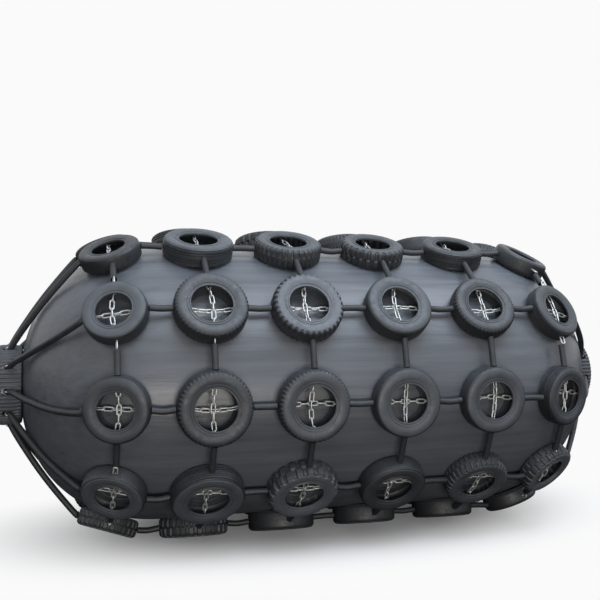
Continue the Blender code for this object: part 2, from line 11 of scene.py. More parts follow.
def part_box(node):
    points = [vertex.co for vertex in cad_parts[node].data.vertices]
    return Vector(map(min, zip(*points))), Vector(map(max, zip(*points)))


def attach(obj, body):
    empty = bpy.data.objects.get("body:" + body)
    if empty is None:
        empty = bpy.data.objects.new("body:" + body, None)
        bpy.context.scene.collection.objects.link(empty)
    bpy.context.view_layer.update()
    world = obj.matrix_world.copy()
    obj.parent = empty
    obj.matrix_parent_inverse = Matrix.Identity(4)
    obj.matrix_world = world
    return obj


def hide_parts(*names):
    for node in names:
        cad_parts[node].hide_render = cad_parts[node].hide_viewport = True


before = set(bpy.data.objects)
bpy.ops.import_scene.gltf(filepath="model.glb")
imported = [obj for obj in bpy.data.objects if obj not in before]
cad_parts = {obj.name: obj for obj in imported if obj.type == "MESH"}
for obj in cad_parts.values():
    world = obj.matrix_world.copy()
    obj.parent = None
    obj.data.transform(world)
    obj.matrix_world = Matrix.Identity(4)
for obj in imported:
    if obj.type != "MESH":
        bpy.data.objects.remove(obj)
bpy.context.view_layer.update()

# The view. A camera held some 2.8 m up, in front of the fender's left end, looks a little down and
# to the right. The frame is square.
body_low, body_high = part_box("fender_body")
AXIS_HEIGHT = (body_low.z + body_high.z) / 2
CAMERA_PLACE = Vector((-2.553, -8.037, 1.389 + AXIS_HEIGHT))
CAMERA_YAW = math.radians(16.6)
CAMERA_PITCH = math.radians(4.25)
CAMERA_ROLL = math.radians(1.455)
FOCAL_PIXELS = 864.0
FRAME_PIXELS = 600

camera_data = bpy.data.cameras.new("camera")
camera_data.sensor_width = 36.0
camera_data.lens = FOCAL_PIXELS / FRAME_PIXELS * camera_data.sensor_width
camera_data.clip_end = 500
camera = bpy.data.objects.new("camera", camera_data)
bpy.context.scene.collection.objects.link(camera)
camera.matrix_world = (
    Matrix.Translation(CAMERA_PLACE)
    @ Matrix.Rotation(-CAMERA_YAW, 4, "Z")
    @ Matrix.Rotation(math.pi / 2 - CAMERA_PITCH, 4, "X")
    @ Matrix.Rotation(CAMERA_ROLL, 4, "Z")
)
bpy.context.scene.camera = camera
bpy.context.scene.view_settings.view_transform = "Standard"


# The studio. A pale seamless floor and sky, which the camera and reflections see as near white, with
# a wide soft lamp overhead, a low one on the camera's side and a weak one behind the fender.
def linear(hex_colour):
    """The linear colour of an sRGB hex value."""
    parts = [int(hex_colour[i : i + 2], 16) / 255 for i in (1, 3, 5)]
    lit = [p / 12.92 if p <= 0.04045 else ((p + 0.055) / 1.055) ** 2.4 for p in parts]
    return (*lit, 1.0)


def add_node(tree, kind, inputs=None, **settings):
    """One node with its settings; an input is a value or the socket that feeds it."""
    node = tree.nodes.new("ShaderNode" + kind)
    for name, value in settings.items():
        setattr(node, name, value)
    for name, value in (inputs or {}).items():
        if isinstance(value, bpy.types.NodeSocket):
            tree.links.new(value, node.inputs[name])
        else:
            node.inputs[name].default_value = value
    return node


def mesh_from(bm, name):
    """The bmesh as a mesh; the bmesh is freed."""
    data = bpy.data.meshes.new(name)
    bm.to_mesh(data)
    bm.free()
    return data


BACKDROP_COLOUR = linear("#fafafa")
FLOOR_SEEN = linear("#fcfcfc")
FLOOR_BOUNCE = linear("#2c2c2c")
SHADOW_REACH = (0.5, 1.6)  # the floor fades into the backdrop between these distances from it
FENDER_SHAPE = (0.4, 1.0, 1.0)  # distances along the fender count for less
GLOW_UNDER = 0.08  # how far it has faded already under the fender

floor_mesh = bmesh.new()
bmesh.ops.create_grid(floor_mesh, x_segments=1, y_segments=1, size=150)
floor_data = mesh_from(floor_mesh, "studio_floor")
studio_floor = bpy.data.objects.new("studio_floor", floor_data)
bpy.context.scene.collection.objects.link(studio_floor)
floor_paint = bpy.data.materials.new("painted_studio_floor")
floor_paint.use_nodes = True
tree = floor_paint.node_tree
tree.nodes.clear()
rays = add_node(tree, "LightPath")
colour = add_node(
    tree,
    "MixRGB",
    {"Fac": rays.outputs["Is Camera Ray"], "Color1": FLOOR_BOUNCE, "Color2": FLOOR_SEEN},
)
matt = add_node(tree, "BsdfDiffuse", {"Color": colour.outputs[0]})
glow = add_node(tree, "Emission", {"Color": BACKDROP_COLOUR, "Strength": 1.0})
place = add_node(tree, "TexCoord").outputs["Object"]
around = add_node(tree, "VectorMath", {0: place, 1: FENDER_SHAPE}, operation="MULTIPLY")
distance = add_node(tree, "VectorMath", {0: around.outputs[0]}, operation="LENGTH")
fade = add_node(
    tree,
    "MapRange",
    {
        "Value": distance.outputs["Value"],
        "From Min": SHADOW_REACH[0],
        "From Max": SHADOW_REACH[1],
        "To Min": GLOW_UNDER,
        "To Max": 1.0,
    },
    interpolation_type="SMOOTHSTEP",
)
share = add_node(
    tree,
    "Math",
    {0: rays.outputs["Is Camera Ray"], 1: fade.outputs[0]},
    operation="MULTIPLY",
)
floor_mix = add_node(
    tree, "MixShader", {0: share.outputs[0], 1: matt.outputs[0], 2: glow.outputs[0]}
)
add_node(tree, "OutputMaterial", {"Surface": floor_mix.outputs[0]})
floor_data.materials.append(floor_paint)

sky = bpy.data.worlds.new("studio_sky")
sky.use_nodes = True
tree = sky.node_tree
tree.nodes.clear()
rays = add_node(tree, "LightPath")
seen = add_node(
    tree,
    "Math",
    {0: rays.outputs["Is Camera Ray"], 1: rays.outputs["Is Glossy Ray"]},
    operation="MAXIMUM",
)
fill = add_node(tree, "Background", {"Color": linear("#eef2f7"), "Strength": 0.62})
backdrop = add_node(tree, "Background", {"Color": BACKDROP_COLOUR, "Strength": 1.0})
sky_mix = add_node(
    tree, "MixShader", {0: seen.outputs[0], 1: fill.outputs[0], 2: backdrop.outputs[0]}
)
add_node(tree, "OutputWorld", {"Surface": sky_mix.outputs[0]})
bpy.context.scene.world = sky


def add_softbox(name, place, target, size, watts, colour):
    """An area lamp that faces a target."""
    data = bpy.data.lights.new(name, "AREA")
    data.color = linear(colour)[:3]
    data.shape = "RECTANGLE"
    data.size, data.size_y = size
    data.energy = watts
    lamp = bpy.data.objects.new(name, data)
    bpy.context.scene.collection.objects.link(lamp)
    aim = (Vector(target) - Vector(place)).to_track_quat("-Z", "Y")
    lamp.matrix_world = Matrix.Translation(place) @ aim.to_matrix().to_4x4()


add_softbox("overhead", (1.6, -3.2, 8.0), (0.8, -0.3, AXIS_HEIGHT), (7.0, 4.0), 470, "#e6f0ff")
add_softbox("beside_camera", (-1.5, -11.0, 0.9), (0, 0, AXIS_HEIGHT), (7.0, 1.6), 440, "#fff6ee")
add_softbox("behind", (5.0, 10.0, 3.5), (0, 0, AXIS_HEIGHT), (5.0, 3.0), 220, "#ffffff")


# The body. A moulded skin of rubber over cord plies, inflated hard: a cylinder with round ends. The
# plies' edges show as faint lengthwise lines.
SOLID_SIDES = 20  # the solid's box lies on its flat sides
BODY_RADIUS = (body_high.z - body_low.z) / 2 / math.cos(math.pi / SOLID_SIDES)
BODY_END = body_high.x
SKIN_WALL = 0.03
MOUTH_RADIUS = 0.12
FLANGE_RADIUS = 0.265  # the flat round each mouth is as wide as the flange
DOME_X = BODY_END - math.sqrt(BODY_RADIUS**2 - FLANGE_RADIUS**2)
DOME_FULLNESS = 2.2  # 2 is a half ball; the real domes are a little blunter
SEAT_SHARE = FLANGE_RADIUS / BODY_RADIUS
DOME_REACH = (BODY_END - DOME_X) / (1 - SEAT_SHARE**DOME_FULLNESS) ** (1 / DOME_FULLNESS)
TO_AXIS = Matrix.Translation((0, 0, AXIS_HEIGHT))


def finish_piece(name, bm, materials, body, nodes, sharp=35):
    """Makes a bmesh a piece that rides on a CAD body and stands for CAD nodes."""
    data = mesh_from(bm, name)
    for material in materials:
        data.materials.append(material)
    data.set_sharp_from_angle(angle=math.radians(sharp))
    piece = bpy.data.objects.new(name, data)
    bpy.context.scene.collection.objects.link(piece)
    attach(piece, body)
    if nodes:
        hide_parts(*nodes)
    return piece


def verts_of(faces):
    """The faces' vertices, each once."""
    return list({v for f in faces for v in f.verts})


def turn_profile(bm, profile, axis, steps, closed=True):
    """Turns (radius, along) points round X or Z and returns the new faces."""
    along = Vector((1, 0, 0)) if axis == "X" else Vector((0, 0, 1))
    out = Vector((0, 0, 1)) if axis == "X" else Vector((1, 0, 0))
    before = set(bm.faces)
    verts = [bm.verts.new(out * radius + along * a) for radius, a in profile]
    pairs = list(zip(verts, verts[1:])) + ([(verts[-1], verts[0])] if closed else [])
    edges = [bm.edges.new(pair) for pair in pairs]
    bmesh.ops.spin(
        bm, geom=verts + edges, axis=along, angle=math.tau, steps=steps, use_merge=True
    )
    faces = [f for f in bm.faces if f not in before]
    if not closed:
        bmesh.ops.remove_doubles(bm, verts=verts_of(faces), dist=1e-6)
        faces = [f for f in bm.faces if f not in before]
    bmesh.ops.recalc_face_normals(bm, faces=faces)
    return faces


def start_material(name):
    """A new material with its node tree and its shader."""
    material = bpy.data.materials.new(name)
    material.use_nodes = True
    return material, material.node_tree, material.node_tree.nodes["Principled BSDF"]


def dome_point(angle, over=0.0):
    """(along, radius) of a place on the dome, an angle round from its edge and a way off it."""
    size = 1 + over / BODY_RADIUS
    along = DOME_REACH * math.sin(angle) ** (2 / DOME_FULLNESS)
    radius = BODY_RADIUS * math.cos(angle) ** (2 / DOME_FULLNESS)
    return DOME_X + along * size, radius * size


def dome_section(inset, steps):
    """(radius, along) points from the dome's edge to the flange's seat."""
    last = math.acos(SEAT_SHARE ** (DOME_FULLNESS / 2))
    points = [dome_point(last * i / steps, -inset) for i in range(steps + 1)]
    return [(radius, along) for along, radius in points]


def per_metre(millimetres):
    """The scale of a pattern whose marks are this wide."""
    return 1000 / millimetres


# Vulcanised rubber, weathered outdoors: slate grey, a soft wet-looking sheen with streaks 65 mm wide
# along the plies, and a pale bluish grey where it faces the sky, partly dust and partly painted top
# light. The plies' cords are some 2 mm apart, and they are drawn at 15 mm so that they show.
skin_rubber, tree, shader = start_material("vulcanised_skin_rubber")
place = add_node(tree, "TexCoord").outputs["Object"]
ply = add_node(
    tree, "Mapping", {"Vector": place, "Scale": (per_metre(1300), per_metre(65), per_metre(65))}
)
streaks = add_node(
    tree, "TexNoise", {"Vector": ply.outputs[0], "Scale": 1.0, "Detail": 6.0, "Roughness": 0.62}
)
blotch = add_node(tree, "TexNoise", {"Vector": place, "Scale": per_metre(909), "Detail": 5.0})
tone = add_node(
    tree,
    "MixRGB",
    {"Fac": blotch.outputs[0], "Color1": linear("#46494e"), "Color2": linear("#5c6167")},
)
streaked = add_node(
    tree,
    "MixRGB",
    {"Fac": 0.35, "Color1": tone.outputs[0], "Color2": streaks.outputs[0]},
    blend_type="OVERLAY",
)
up = add_node(tree, "SeparateXYZ", {0: add_node(tree, "NewGeometry").outputs["Normal"]})
# Faces that look up are mixed towards pale bluish grey: partly dust, partly painted top light from the
# sky.
dust_and_top_light_mask = add_node(
    tree,
    "MapRange",
    {"Value": up.outputs[2], "From Min": -0.2, "From Max": 1.0, "To Min": 0.0, "To Max": 0.36},
)
dust_and_top_light = add_node(
    tree, "Math", {0: dust_and_top_light_mask.outputs[0], 1: streaks.outputs[0]}, operation="MULTIPLY"
)
skin_colour = add_node(
    tree,
    "MixRGB",
    {"Fac": dust_and_top_light.outputs[0], "Color1": streaked.outputs[0], "Color2": linear("#8f979f")},
)
tree.links.new(skin_colour.outputs[0], shader.inputs["Base Color"])
gloss = add_node(
    tree,
    "MapRange",
    {"Value": streaks.outputs[0], "From Min": 0.3, "From Max": 0.7, "To Min": 0.27, "To Max": 0.42},
)
tree.links.new(gloss.outputs[0], shader.inputs["Roughness"])
thread = add_node(
    tree, "Mapping", {"Vector": place, "Scale": (per_metre(1000), per_metre(14.7), per_metre(14.7))}
)
cords = add_node(tree, "TexNoise", {"Vector": thread.outputs[0], "Scale": 1.0, "Detail": 2.0})
waves = add_node(
    tree, "Bump", {"Strength": 0.3, "Distance": 0.012, "Height": streaks.outputs[0]}
)
relief = add_node(
    tree,
    "Bump",
    {
        "Strength": 0.3,
        "Distance": 0.0025,
        "Height": cords.outputs[0],
        "Normal": waves.outputs[0],
    },
)
tree.links.new(relief.outputs[0], shader.inputs["Normal"])

body = bmesh.new()
outside = dome_section(0.0, 24)
inside = [(MOUTH_RADIUS, BODY_END), (MOUTH_RADIUS, BODY_END - SKIN_WALL)]
inside += dome_section(SKIN_WALL, 6)[::-1]
barrel = [(BODY_RADIUS, DOME_X * (i / 12)) for i in range(12)]
half = barrel + outside + inside
turn_profile(body, half + [(r, -x) for r, x in half[:0:-1]], "X", 96)
bmesh.ops.transform(body, matrix=TO_AXIS, verts=body.verts)
finish_piece("fender_skin", body, [skin_rubber], "fender", ["fender_body"])


# The tyres of the net. Used car and van casings, each a hollow carcass with its own worn tread, lying
# flat on the body. The lowest ones are pressed flat where they lie on the ground.
ROWS = 10
COLUMNS = 6
ROW_STEP = math.tau / ROWS
COLUMN_SPACING = 0.825
DOME_TYRE_ANGLE = math.radians(20.0)  # round the dome to the outermost tyres
TYRE_RADIUS = 0.310
TYRE_WIDTH = 0.185
SEAT_RADIUS = -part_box("tyre_row_01")[0].y - TYRE_WIDTH
# The net mixes casings, and the smallest ones lie on the domes
COLUMN_SIZES = (0.86, 1.0, 0.99, 0.96, 0.94, 0.86)

# (radius, height over mid-width) from the tread's middle over the sidewall and back inside
TREAD = ((TYRE_RADIUS, 0.011), (TYRE_RADIUS - 0.0005, 0.032), (TYRE_RADIUS - 0.002, 0.0555))
SHOULDER = ((0.304, 0.069), (0.2950, 0.0785))
SIDEWALL = (
    (0.2890, 0.0810),
    (0.2870, 0.0850),
    (0.2740, 0.0895),
    (0.2520, 0.0923),
    (0.2280, 0.0905),
    (0.2080, 0.0845),
    (0.2060, 0.0885),
    (0.1990, 0.0875),
    (0.1970, 0.0825),
    (0.1870, 0.0800),
    (0.1835, 0.0838),
    (0.1745, 0.0832),
    (0.1715, 0.0740),
)
LINING = ((0.1750, 0.0610), (0.2000, 0.0680), (0.2667, 0.0740), (0.2935, 0.0463))


def tyre_section(kind):
    """The closed section of one casing; a ribbed tread has grooves round it."""
    tread = TREAD
    if kind == "ribs":
        tread = ()
        for rib in (0.013, 0.034, 0.055):
            tread += ((TYRE_RADIUS, rib - 0.009), (TYRE_RADIUS - 0.001, rib + 0.006))
            tread += ((TYRE_RADIUS - 0.009, rib + 0.008), (TYRE_RADIUS - 0.009, rib + 0.010))
    shoulder = ((0.303, 0.0715), (0.2950, 0.0785)) if kind == "ribs" else SHOULDER
    upper = tread + shoulder + SIDEWALL + LINING
    return [(r, h) for r, h in upper] + [(r, -h) for r, h in reversed(upper)]


# kind: lugs round the tyre, steps to a lug, depth of the grooves, where they start from mid-width
LUGS = {
    "fine": (52, 2, 0.007, 0.028),
    "blocks": (36, 4, 0.010, 0.028),
    "coarse": (26, 4, 0.013, 0.010),
    "paddles": (20, 4, 0.015, 0.0),
}
GROOVE_FOOT = 0.284  # the grooves run out on the shoulder at this radius
GROOVE_END = 0.087  # and at this height
TREAD_FOOT = 0.27  # the darker tread, worn rubber and painted shade, ends at this radius
TREAD_EDGE = 0.0788  # and at this height
SMOOTH_STEPS = 72


def casing_mesh(kind):
    """One tyre about its own axis."""
    bm = bmesh.new()
    count, per_lug, depth, start = LUGS.get(kind, (SMOOTH_STEPS, 1, 0.0, GROOVE_END))
    steps = count * per_lug
    for v in verts_of(turn_profile(bm, tyre_section(kind), "Z", steps)):
        radius = v.co.xy.length
        if per_lug == 1 or radius < GROOVE_FOOT or not start <= abs(v.co.z) <= GROOVE_END:
            continue
        phase = round(math.atan2(v.co.y, v.co.x) / math.tau * steps) % per_lug
        if v.co.z < 0 and per_lug == 4:
            phase = (phase + 2) % 4
        if phase < per_lug / 2:
            v.co.xy *= (radius - depth) / radius
            v.co.z -= math.copysign(depth * 0.25, v.co.z)
        elif per_lug == 4:
            lean = (0.5 if phase == 2 else -0.5) * -0.8 * math.tau / steps
            v.co = Matrix.Rotation(lean, 3, "Z") @ v.co
    return mesh_from(bm, kind)


def stamp(bm, template, place):
    """Adds a copy of a mesh at a place and returns its vertices."""
    count = len(bm.verts)
    bm.from_mesh(template)
    bm.verts.ensure_lookup_table()
    verts = bm.verts[count:]
    bmesh.ops.transform(bm, matrix=place, verts=verts)
    return verts


def row_turn(number):
    """Row 0 faces the camera's side and the next ones follow upwards."""
    return TO_AXIS @ Matrix.Rotation(math.pi / 2 - number * ROW_STEP, 4, "X")


def tyre_seat(number, column):
    """Where a tyre's middle is, with its axis along the body's normal and its own size."""
    side = column - (COLUMNS - 1) / 2
    scale = COLUMN_SIZES[column]
    lift = Matrix.Translation((0, 0, TYRE_WIDTH / 2 * scale)) @ Matrix.Scale(scale, 4)
    if abs(side) < 2:
        return row_turn(number) @ Matrix.Translation((side * COLUMN_SPACING, 0, SEAT_RADIUS)) @ lift
    facing = math.copysign(1, side)
    reach = SIDEWALL[-1][0] * scale / BODY_RADIUS
    near, far = (Vector(dome_point(DOME_TYRE_ANGLE + turn)) for turn in (-reach, reach))
    middle, slope = (near + far) / 2, far - near
    return (
        row_turn(number)
        @ Matrix.Translation((facing * middle.x, 0, middle.y))
        @ Matrix.Rotation(facing * math.atan2(-slope.y, slope.x), 4, "Y")
        @ lift
    )


# Tread kinds of the rows that the view shows, left to right; the others are mixed
KINDS = {
    0: ("plain", "fine", "fine", "plain", "plain", "ribs"),
    1: ("plain", "fine", "blocks", "plain", "fine", "ribs"),
    2: ("plain", "ribs", "blocks", "coarse", "ribs", "plain"),
    3: ("plain", "ribs", "coarse", "fine", "plain", "blocks"),
    9: ("plain", "ribs", "paddles", "plain", "blocks", "coarse"),
}
MIXED = ("plain", "fine", "ribs", "blocks", "coarse", "plain")

# Worn tyre rubber: carbon black gone grey with sun and dust, matt, paler on some casings than on
# others and darker on the treads than on the sidewalls, partly worn rubber and partly painted shade,
# scuffed over some 55 mm. The grit is drawn at 6 mm so that it shows.
casing_rubber, tree, shader = start_material("worn_tyre_rubber")
place = add_node(tree, "TexCoord").outputs["Object"]
# The age attribute also carries the treads' darkening: worn rubber and painted shade.
age = add_node(tree, "Attribute", attribute_name="age").outputs["Fac"]
mottle = add_node(
    tree,
    "TexNoise",
    {"Vector": place, "Scale": per_metre(143), "Detail": 8.0, "Roughness": 0.68},
)
grit = add_node(tree, "TexNoise", {"Vector": place, "Scale": per_metre(6.25), "Detail": 3.0})
scuffs = add_node(
    tree,
    "TexNoise",
    {"Vector": place, "Scale": per_metre(55.6), "Detail": 4.0, "Distortion": 1.5},
)
casing_tone = add_node(
    tree, "MixRGB", {"Fac": age, "Color1": linear("#15181b"), "Color2": linear("#52575d")}
)
mottled = add_node(
    tree,
    "MixRGB",
    {"Fac": 0.45, "Color1": casing_tone.outputs[0], "Color2": mottle.outputs[0]},
    blend_type="OVERLAY",
)
up = add_node(tree, "SeparateXYZ", {0: add_node(tree, "NewGeometry").outputs["Normal"]})
# Faces that look up are mixed towards pale bluish grey: partly dust, partly painted top light.
dust_and_top_light_mask = add_node(
    tree,
    "MapRange",
    {"Value": up.outputs[2], "From Min": 0.0, "From Max": 1.0, "To Min": 0.0, "To Max": 0.18},
)
dust_and_top_light = add_node(tree, "Math", {0: dust_and_top_light_mask.outputs[0], 1: mottle.outputs[0]}, operation="MULTIPLY")
casing_colour = add_node(
    tree,
    "MixRGB",
    {"Fac": dust_and_top_light.outputs[0], "Color1": mottled.outputs[0], "Color2": linear("#878e95")},
)
tree.links.new(casing_colour.outputs[0], shader.inputs["Base Color"])
dull = add_node(
    tree,
    "MapRange",
    {"Value": scuffs.outputs[0], "From Min": 0.35, "From Max": 0.65, "To Min": 0.42, "To Max": 0.62},
)
tree.links.new(dull.outputs[0], shader.inputs["Roughness"])
dents = add_node(tree, "Bump", {"Strength": 0.35, "Distance": 0.004, "Height": scuffs.outputs[0]})
relief = add_node(
    tree,
    "Bump",
    {
        "Strength": 0.3,
        "Distance": 0.001,
        "Height": grit.outputs[0],
        "Normal": dents.outputs[0],
    },
)
tree.links.new(relief.outputs[0], shader.inputs["Normal"])

chance = random.Random(7)
casings = {kind: casing_mesh(kind) for kind in sorted(set(MIXED) | {"paddles"})}
# Which vertices lie on the tread, where the casing is darkened: worn rubber and painted shade.
worn_shaded_treads = {
    kind: [v.co.xy.length > TREAD_FOOT and abs(v.co.z) < TREAD_EDGE for v in casing.vertices]
    for kind, casing in casings.items()
}
for number in range(ROWS):
    row = bmesh.new()
    ages = row.verts.layers.float.new("age")
    kinds = KINDS.get(number) or [chance.choice(MIXED) for _ in range(COLUMNS)]
    for column, kind in enumerate(kinds):
        spin = Matrix.Rotation(chance.uniform(0, 0.2), 4, "Z")
        age = chance.uniform(0.3, 1.0)
        verts = stamp(row, casings[kind], tyre_seat(number, column) @ spin)
        for v, on_worn_shaded_tread in zip(verts, worn_shaded_treads[kind]):
            # Tread vertices take a quarter of the casing's age, so they are darker: worn rubber and
            # painted shade.
            v[ages] = age * 0.25 if on_worn_shaded_tread else age
            v.co.z = max(v.co.z, 0.0)
    name = f"row_tyres_{number + 1:02d}"
    node = f"tyre_row_{number + 1:02d}"
    finish_piece(name, row, [casing_rubber], "fender", [node], 28)


# The net's chains. Galvanised links of 13 mm round steel that pass through holes in the treads and
# cross inside each tyre, the crosswise chain over the lengthwise one.
LINK_BAR = 0.013
LINK_PITCH = 0.073
LINK_WIDTH = 0.046
CHAIN_STEP = 0.013
# Where a hose is cut short a link shows beside a casing: row, column and side, 1 towards the next row
BARE_LINKS = {(1, 0, 1), (1, 0, -1), (9, 0, 1), (1, 5, 1), (1, 5, -1), (1, 1, -1), (2, 5, -1)}
BARE_REACH = 4.5 * LINK_PITCH + 0.006
BEND_REACH = 0.2  # a slack chain lies aside over this much each way from a tyre's middle


def link_mesh():
    """One link along X in the XY plane: a bar bent into two half circles and two straights."""
    bm = bmesh.new()
    bend = (LINK_WIDTH - LINK_BAR) / 2
    straight = LINK_PITCH + LINK_BAR - 2 * bend
    made = bmesh.ops.create_circle(bm, segments=8, radius=LINK_BAR / 2)
    start = Matrix.Translation((straight / 2, bend, 0)) @ Matrix.Rotation(math.pi / 2, 4, "Y")
    bmesh.ops.transform(bm, matrix=start, verts=made["verts"])
    first = bm.edges[:]
    loop = first
    for end in (1, -1):
        turned = bmesh.ops.spin(
            bm,
            geom=loop,
            cent=(end * straight / 2, 0, 0),
            axis=(0, 0, -1),
            angle=math.pi,
            steps=6,
        )
        loop = [g for g in turned["geom_last"] if isinstance(g, bmesh.types.BMEdge)]
        if end == 1:
            moved = bmesh.ops.extrude_edge_only(bm, edges=loop)
            loop = [g for g in moved["geom"] if isinstance(g, bmesh.types.BMEdge)]
            verts = list({v for e in loop for v in e.verts})
            bmesh.ops.translate(bm, vec=(-straight, 0, 0), verts=verts)
    bmesh.ops.bridge_loops(bm, edges=loop + first)
    bmesh.ops.recalc_face_normals(bm, faces=bm.faces)
    return mesh_from(bm, "link")


# Hot-dip galvanised steel: pale zinc grey, matt, with a faint spangle of 11 mm and duller patches.
zinc, tree, shader = start_material("hot_dip_zinc")
place = add_node(tree, "TexCoord").outputs["Object"]
spangle = add_node(tree, "TexVoronoi", {"Vector": place, "Scale": per_metre(11.1)})
tarnish = add_node(tree, "TexNoise", {"Vector": place, "Scale": per_metre(71.4), "Detail": 5.0})
zinc_tone = add_node(
    tree,
    "MixRGB",
    {"Fac": tarnish.outputs[0], "Color1": linear("#a9adac"), "Color2": linear("#d9dcda")},
)
zinc_colour = add_node(
    tree,
    "MixRGB",
    {"Fac": 0.12, "Color1": zinc_tone.outputs[0], "Color2": spangle.outputs["Color"]},
    blend_type="SOFT_LIGHT",
)
tree.links.new(zinc_colour.outputs[0], shader.inputs["Base Color"])
shader.inputs["Metallic"].default_value = 0.55
shader.inputs["Roughness"].default_value = 0.42
relief = add_node(tree, "Bump", {"Strength": 0.2, "Distance": 0.0008, "Height": tarnish.outputs[0]})
tree.links.new(relief.outputs[0], shader.inputs["Normal"])

link = link_mesh()
for number in range(3, ROWS - 1):
    for column in (0, COLUMNS - 1):
        BARE_LINKS.add((number, column, chance.choice((1, -1))))
for number in range(ROWS):
    chain = bmesh.new()
    for column in range(COLUMNS):
        seat = tyre_seat(number, column).normalized()
        for heading, level in ((0, -CHAIN_STEP), (math.pi / 2, CHAIN_STEP)):
            twist = chance.uniform(-0.5, 0.5)
            turned = chance.choice((0, 1))
            bend = chance.uniform(-0.03, 0.03)
            last = 3 + (heading > 0 and (number, column, 1) in BARE_LINKS)
            first = -3 - (heading > 0 and (number, column, -1) in BARE_LINKS)
            for i in range(first, last + 1):
                along = i * LINK_PITCH
                aside = bend * (1 - min(1.0, abs(along) / BEND_REACH) ** 2)
                slope = -2 * bend * along / BEND_REACH**2 if abs(along) < BEND_REACH else 0
                roll = twist + (math.pi / 2 if (i + turned) % 2 else 0)
                stamp(
                    chain,
                    link,
                    seat
                    @ Matrix.Translation((0, 0, level))
                    @ Matrix.Rotation(heading, 4, "Z")
                    @ Matrix.Translation((along, aside, 0))
                    @ Matrix.Rotation(slope, 4, "Z")
                    @ Matrix.Rotation(roll, 4, "X"),
                )
    name = f"row_chain_{number + 1:02d}"
    node = f"tyre_row_{number + 1:02d}"
    finish_piece(name, chain, [zinc], "fender", [node], 60)


# The hoses. Lengths of black wrapped rubber hose, 55 mm across, threaded over the chain between the
# tyres and over the domes, cut a little short so that a link shows at some ends.
HOSE_RADIUS = 0.0275
HOSE_WALL = 0.007


def mesh_of_curve(curve):
    """The curve as a mesh, welded where its caps meet its side."""
    carrier = bpy.data.objects.new(curve.name, curve)
    bpy.context.scene.collection.objects.link(carrier)
    graph = bpy.context.evaluated_depsgraph_get()
    data = bpy.data.meshes.new_from_object(carrier.evaluated_get(graph))
    bpy.data.objects.remove(carrier)
    bm = bmesh.new()
    bm.from_mesh(data)
    bmesh.ops.remove_doubles(bm, verts=bm.verts, dist=1e-5)
    bmesh.ops.recalc_face_normals(bm, faces=bm.faces)
    bm.to_mesh(data)
    bm.free()
    return data


def tube_mesh(points, radius, rounding=4, cyclic=False, capped=False):
    """A round tube along the points."""
    curve = bpy.data.curves.new("tube", "CURVE")
    curve.dimensions = "3D"
    curve.bevel_depth = radius
    curve.bevel_resolution = rounding
    curve.use_fill_caps = capped
    spline = curve.splines.new("POLY")
    spline.points.add(len(points) - 1)
    spline.use_cyclic_u = cyclic
    for point, co in zip(spline.points, points):
        point.co = (*co, 1)
    return mesh_of_curve(curve)


def add_hose(bm, points):
    """An open tube with a wall, along the points."""
    data = tube_mesh(points, HOSE_RADIUS)
    tube = bmesh.new()
    tube.from_mesh(data)
    bmesh.ops.solidify(tube, geom=tube.faces[:], thickness=HOSE_WALL)
    tube.to_mesh(data)
    tube.free()
    bm.from_mesh(data)
    bpy.data.meshes.remove(data)


# Wrapped rubber hose: dull black, with the print of the cloth it was cured in as soft marks some
# 45 mm apart.
hose_rubber, tree, shader = start_material("wrapped_hose_rubber")
place = add_node(tree, "TexCoord").outputs["Object"]
wrap = add_node(tree, "TexNoise", {"Vector": place, "Scale": per_metre(45.5), "Detail": 5.0})
hose_tone = add_node(
    tree,
    "MixRGB",
    {"Fac": wrap.outputs[0], "Color1": linear("#17191c"), "Color2": linear("#33373c")},
)
tree.links.new(hose_tone.outputs[0], shader.inputs["Base Color"])
shader.inputs["Roughness"].default_value = 0.5
relief = add_node(tree, "Bump", {"Strength": 0.3, "Distance": 0.002, "Height": wrap.outputs[0]})
tree.links.new(relief.outputs[0], shader.inputs["Normal"])

END_TYRE_RADIUS = (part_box("end_tyre_left")[1].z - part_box("end_tyre_left")[0].z) / 2
RING_X = (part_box("tow_ring_right")[0].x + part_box("tow_ring_right")[1].x) / 2
HOSE_SAG = 0.06
DOME_PLACES = ((45, 0.044), (57, 0.034))  # degrees round the dome and height off it
DOME_LEFT = (RING_X - 0.085, 0.475)  # (along, radius) where a hose leaves the dome
HOSE_HOLE = (RING_X + 0.005, END_TYRE_RADIUS - 0.05)  # and inside the end tyre's tread


def smooth_route(points, count):
    """A smooth curve through the points, as evenly numbered places."""
    route = []
    ends = [points[0] * 2 - points[1]] + points + [points[-1] * 2 - points[-2]]
    for a, b, c, d in zip(ends, ends[1:], ends[2:], ends[3:]):
        for i in range(count):
            t = i / count
            route.append(
                0.5
                * (
                    2 * b
                    + (c - a) * t
                    + (2 * a - 5 * b + 4 * c - d) * t**2
                    + (3 * b - a - 3 * c + d) * t**3
                )
            )
    return route + [points[-1]]


def dome_route(number, facing):
    """From the outermost tyre over the dome to the hole in the end tyre's tread."""
    seat = tyre_seat(number, COLUMNS - 1 if facing > 0 else 0)
    turn = row_turn(number)
    points = [seat @ Vector((facing * d, 0, 0)) for d in (TYRE_RADIUS - 0.004, TYRE_RADIUS + 0.03)]
    for degrees, over in DOME_PLACES:
        along, radius = dome_point(math.radians(degrees), over)
        points.append(turn @ Vector((facing * along, 0, radius)))
    for along, radius in (DOME_LEFT, HOSE_HOLE):
        points.append(turn @ Vector((facing * along, 0, radius)))
    route = smooth_route(points, 5)
    length = len(route) - 1
    for i, point in enumerate(route):
        share = math.sin(math.pi * min(1.0, i / length / 0.85))
        sag = Vector((0, 0, -HOSE_SAG * max(0.0, share)))
        out = (point - Vector((point.x, 0, AXIS_HEIGHT))).normalized()
        route[i] = point + sag - out * sag.dot(out)
    return route


